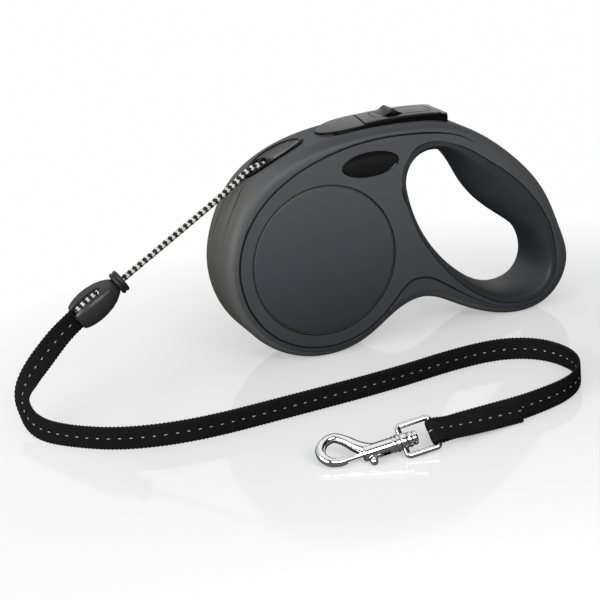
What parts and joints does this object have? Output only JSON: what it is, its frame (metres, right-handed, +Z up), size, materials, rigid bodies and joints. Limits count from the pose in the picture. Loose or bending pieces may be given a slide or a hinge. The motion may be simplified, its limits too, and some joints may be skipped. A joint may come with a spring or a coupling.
{
  "type": "retractable dog leash",
  "caption": "Retractable leash: drum case with handle loop and thumb brake, braided cord, stop disc, connector, webbing strap and swivel bolt snap.",
  "frame": {"origin": "under the middle of the case, on the surface it stands on", "axes": "+X from the cord outlet to the handle, +Z up, -Y out of the left side, whose face the strap lies in front of"},
  "size_m": [0.2554, 0.1423, 0.0991],
  "materials": {
    "case": "soft-touch matte",
    "side_cover": "fine matte",
    "black_gloss": "polished black",
    "grip": "soft matte elastomer",
    "inner_plastic": "natural moulded",
    "steel": "bright zinc plated",
    "chrome": "mirror chrome",
    "cord": "braided black and white",
    "rubber": "matte black",
    "connector": "smooth dark grey",
    "webbing": "woven with a reflective stitch"
  },
  "bodies": {
    "case": {"left_shell": "case", "right_shell": "case", "left_cover": "side_cover", "right_cover": "side_cover", "left_badge": "black_gloss", "right_badge": "black_gloss", "handle_grip": "grip", "cord_outlet": "black_gloss", "case_screws": "steel", "brake_bezel": "black_gloss", "button_spring": "steel", "pawl_pin": "steel", "reel_axle": "steel", "axle_washers": "inner_plastic", "power_spring": "steel", "leash_cord": "cord", "stop_disc": "rubber", "cord_connector": "connector", "webbing": "webbing"},
    "reel": {"reel": "inner_plastic", "wound_cord": "cord", "spring_case": "inner_plastic", "spring_cover": "inner_plastic"},
    "button": {"brake_button": "black_gloss"},
    "lock": {"lock_slider": "black_gloss"},
    "pawl": {"brake_pawl": "inner_plastic"},
    "frame": {"hook_frame": "chrome"},
    "hook": {"hook_body": "chrome", "bolt_spring": "steel"},
    "bolt": {"hook_bolt": "chrome"}
  },
  "joints": [
    {"name": "reel_spin", "type": "hinge", "parent": "case", "child": "reel", "pos_m": [-0.0371, 0, 0.043], "axis": [0, 1, 0], "continuous": true},
    {"name": "button_press", "type": "slide", "parent": "case", "child": "button", "axis": [0, 0, -1], "range_m": [0, 0.002], "stiffness_N_per_m": 500, "deforming": ["button_spring"]},
    {"name": "pawl_swing", "type": "hinge", "parent": "case", "child": "pawl", "pos_m": [-0.0311, 0, 0.0863], "axis": [0, 1, 0], "range_deg": [0, 5]},
    {"name": "lock_slide", "type": "slide", "parent": "button", "child": "lock", "axis": [-1, 0, 0], "range_m": [0, 0.004]},
    {"name": "frame_hinge", "type": "hinge", "parent": "case", "child": "frame", "pos_m": [-0.04227, -0.1215, 0.00691], "axis": [-0.0138, 0.7248, 0.6889], "range_deg": [-45, 45]},
    {"name": "hook_swivel", "type": "hinge", "parent": "frame", "child": "hook", "pos_m": [-0.0546, -0.1202, 0.0053], "axis": [-0.9862, 0.1037, -0.1288], "continuous": true},
    {"name": "bolt_slide", "type": "slide", "parent": "hook", "child": "bolt", "axis": [0.9862, -0.1037, 0.1288], "range_m": [0, 0.006], "stiffness_N_per_m": 100, "deforming": ["bolt_spring"]}
  ],
  "couplings": [
    {"joint": "pawl_swing", "follows": "button_press", "rad_per_m": 41.667}
  ]
}
